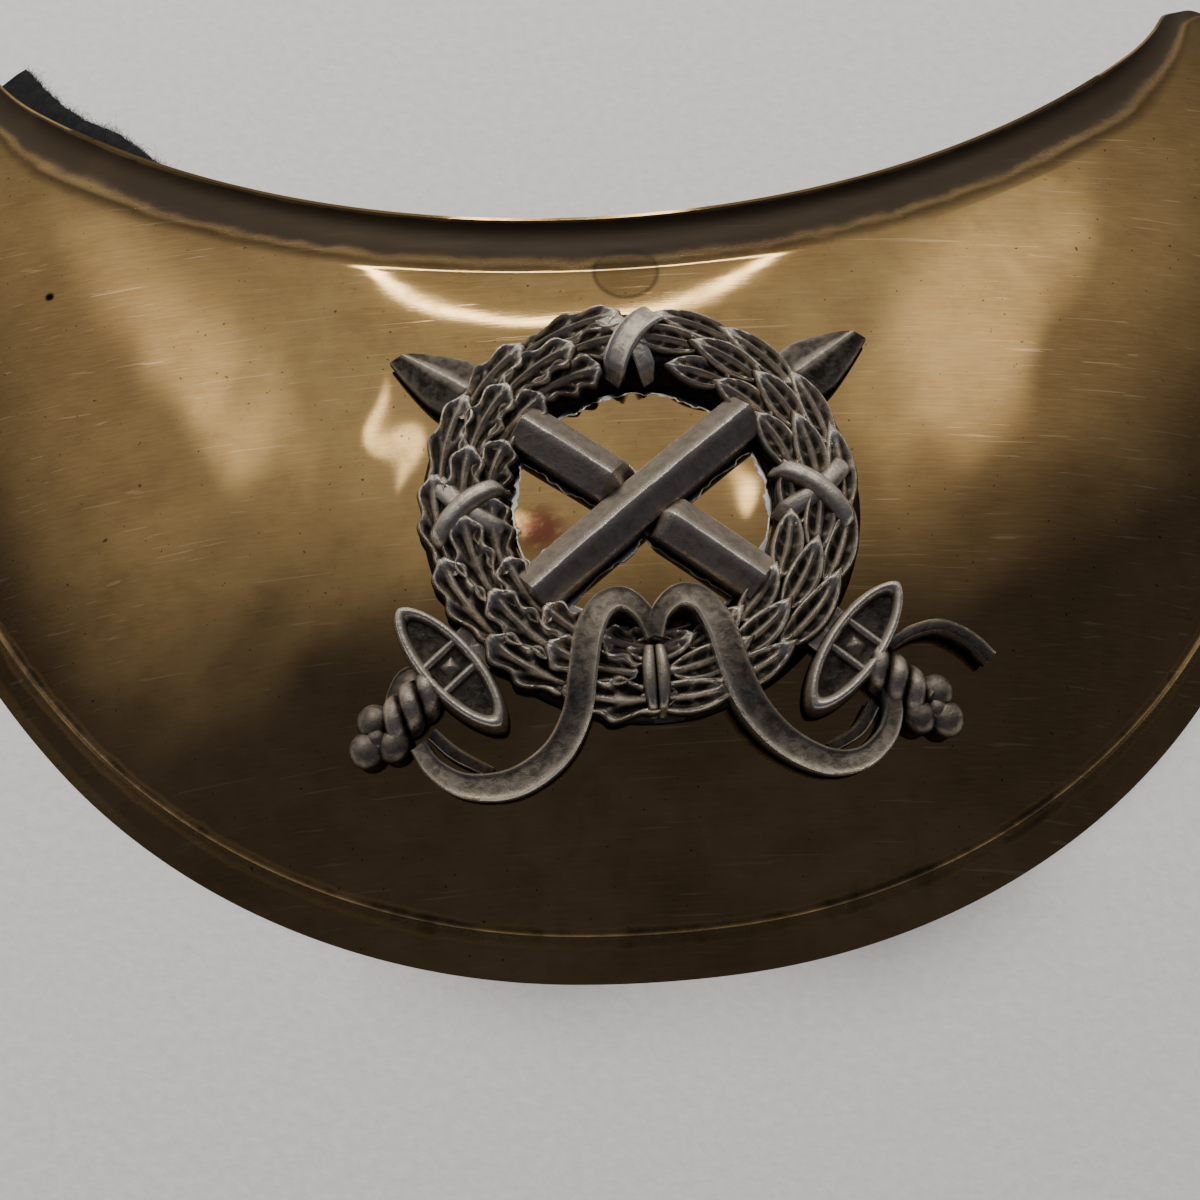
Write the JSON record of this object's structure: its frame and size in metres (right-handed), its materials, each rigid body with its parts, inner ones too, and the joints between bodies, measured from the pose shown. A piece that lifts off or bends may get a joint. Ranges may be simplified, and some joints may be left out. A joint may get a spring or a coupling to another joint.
{
  "type": "neck gorget",
  "caption": "Crescent neck gorget of formed brass sheet with a felt lining, horn studs and a cast badge of crossed swords, wreath and bow.",
  "frame": {"origin": "middle of the plate's outline, on the plane that its outer edge lies on", "axes": "+Z out of the plate's front, +Y towards the neck opening, +X to the right when the front is looked at"},
  "size_m": [0.1506, 0.1072, 0.0201],
  "materials": {
    "brass": "aged, fine brushed scratches, brown tarnish",
    "felt": "black wool felt",
    "white_metal": "cast white metal with dark patina"
  },
  "bodies": {
    "root": {"plate": "brass", "lining": "felt", "badge": "white_metal", "stud_left": "brass", "stud_right": "brass"}
  },
  "joints": []
}
